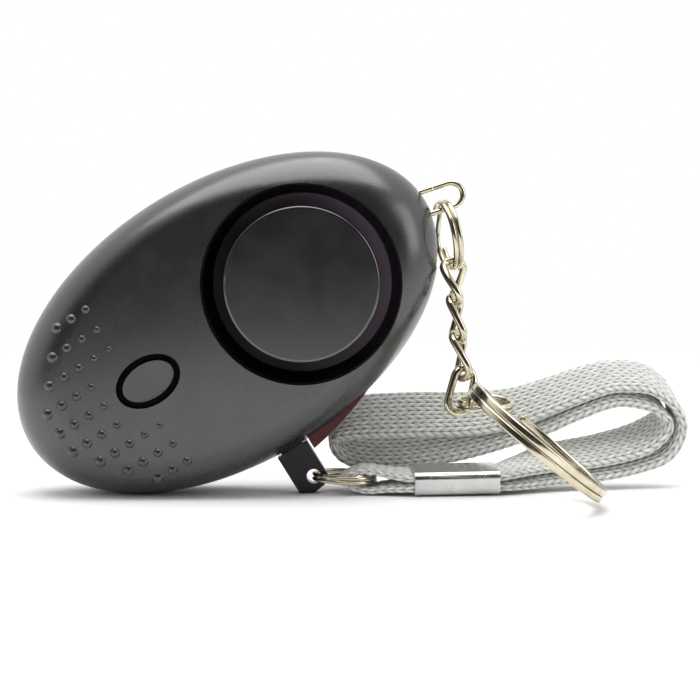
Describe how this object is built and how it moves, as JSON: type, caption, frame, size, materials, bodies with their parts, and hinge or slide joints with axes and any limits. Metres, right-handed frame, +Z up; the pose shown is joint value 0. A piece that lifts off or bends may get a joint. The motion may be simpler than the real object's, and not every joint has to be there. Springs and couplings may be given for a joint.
{
  "type": "personal safety alarm",
  "caption": "Egg-shaped personal safety alarm with siren disc, torch button, grip dots, pull pin on a braided wrist strap, and a key ring on a short chain.",
  "frame": {"origin": "middle of the box around the alarm and its key chain, without the wrist strap, on the table under it", "axes": "+X to the right along the table, from the housing towards the key chain; +Y to the back, away from the siren's face; +Z up"},
  "size_m": [0.1314, 0.0501, 0.0663],
  "materials": {
    "shell": "satin charcoal, fine texture",
    "black": "satin near-black",
    "disc": "smooth satin black",
    "button": "satin black",
    "pin": "glossy black",
    "steel": "zinc plated",
    "nickel": "bright nickel plate",
    "ferrule": "bright, crimped",
    "strap": "flat herringbone braid",
    "red_lens": "dark red translucent",
    "red_lamp": "clear red",
    "insert": "smooth grey",
    "clear_lamp": "clear",
    "cell": "plain printed sleeve, no text",
    "contact": "nickel plated",
    "brass": "plain",
    "board": "green solder mask",
    "ferrite": "dark grey",
    "copper": "enamelled copper wire",
    "sleeve": "blue sleeve",
    "block": "natural"
  },
  "bodies": {
    "housing": {"front_shell": "shell", "rear_shell": "shell", "battery_door": "shell", "door_screw": "steel", "case_screws": "steel", "siren_cup": "black", "siren_disc": "disc", "piezo_disc": "brass", "piezo_clamp": "black", "tact_switch": "black", "circuit_board": "board", "board_screws": "steel", "driver_chip": "black", "boost_core": "ferrite", "boost_winding": "copper", "capacitor": "sleeve", "strobe_lens": "red_lens", "strobe_lamp": "red_lamp", "torch_lens": "insert", "torch_lamp": "clear_lamp", "cell_a": "cell", "cell_b": "cell", "cell_springs": "contact", "cell_bridge": "contact", "cell_plates": "contact", "contact_block": "block", "fixed_contact": "brass"},
    "button": {"torch_button": "button"},
    "plunger": {"switch_plunger": "block"},
    "leaf": {"moving_contact": "brass"},
    "pin": {"pull_pin": "pin"},
    "bail": {"bail": "nickel"},
    "ring_top": {"ring_top": "nickel"},
    "link_1": {"link_1": "nickel"},
    "link_2": {"link_2": "nickel"},
    "link_3": {"link_3": "nickel"},
    "link_4": {"link_4": "nickel"},
    "ring_low": {"ring_low": "nickel"},
    "key_ring": {"key_ring": "nickel"},
    "pin_ring": {"pin_ring": "nickel"},
    "strap": {"wrist_strap": "strap", "strap_ferrule": "ferrule"}
  },
  "joints": [
    {"name": "pin_pull", "type": "slide", "parent": "housing", "child": "pin", "axis": [0.5284, 0, -0.849], "range_m": [0, 0.012]},
    {"name": "leaf_swing", "type": "hinge", "parent": "housing", "child": "leaf", "pos_m": [-0.01003, 0.01022, 0.02013], "axis": [0.849, 0, 0.5284], "range_deg": [0, 12.05]},
    {"name": "button_press", "type": "slide", "parent": "housing", "child": "button", "axis": [0, 1, 0], "range_m": [0, 0.0005], "stiffness_N_per_m": 2000, "springref_m": -0.0002},
    {"name": "plunger_press", "type": "slide", "parent": "housing", "child": "plunger", "axis": [0, 1, 0], "range_m": [0, 0.0005]},
    {"name": "bail_tilt", "type": "hinge", "parent": "housing", "child": "bail", "pos_m": [0.02224, 0.01182, 0.05613], "axis": [0, -1, 0], "range_deg": [0, 8]},
    {"name": "ring_top_swing", "type": "hinge", "parent": "bail", "child": "ring_top", "pos_m": [0.02637, 0.01182, 0.05506], "axis": [-0.9511, 0, -0.309], "range_deg": [0, 20]},
    {"name": "link_1_swing", "type": "hinge", "parent": "ring_top", "child": "link_1", "pos_m": [0.02834, 0.01182, 0.04364], "axis": [0, -1, 0], "range_deg": [0, 8]},
    {"name": "link_2_swing", "type": "hinge", "parent": "link_1", "child": "link_2", "pos_m": [0.02858, 0.00998, 0.03679], "axis": [0, -1, 0], "range_deg": [0, 10]},
    {"name": "link_3_swing", "type": "hinge", "parent": "link_2", "child": "link_3", "pos_m": [0.02919, 0.00812, 0.02986], "axis": [0, -1, 0], "range_deg": [0, 10]},
    {"name": "link_4_swing", "type": "hinge", "parent": "link_3", "child": "link_4", "pos_m": [0.03027, 0.00626, 0.02299], "axis": [0, -1, 0], "range_deg": [0, 10]},
    {"name": "ring_low_swing", "type": "hinge", "parent": "link_4", "child": "ring_low", "pos_m": [0.02912, 0.00498, 0.01838], "axis": [0, 1, 0], "range_deg": [-4, 8]},
    {"name": "key_ring_swing", "type": "hinge", "parent": "ring_low", "child": "key_ring", "pos_m": [0.03424, 0.00452, 0.01807], "axis": [0, 1, 0], "range_deg": [-4, 4]},
    {"name": "pin_ring_swing", "type": "hinge", "parent": "pin", "child": "pin_ring", "pos_m": [0.00133, 0.01182, 0.0034], "axis": [0, 1, 0], "range_deg": [0, 20]},
    {"name": "strap_swing", "type": "hinge", "parent": "pin_ring", "child": "strap", "pos_m": [0.01331, 0.01182, 0.00286], "axis": [0, 1, 0], "range_deg": [0, 4]}
  ],
  "couplings": [
    {"joint": "plunger_press", "follows": "button_press", "ratio": 1},
    {"joint": "leaf_swing", "follows": "pin_pull", "rad_per_m": 17.453}
  ]
}
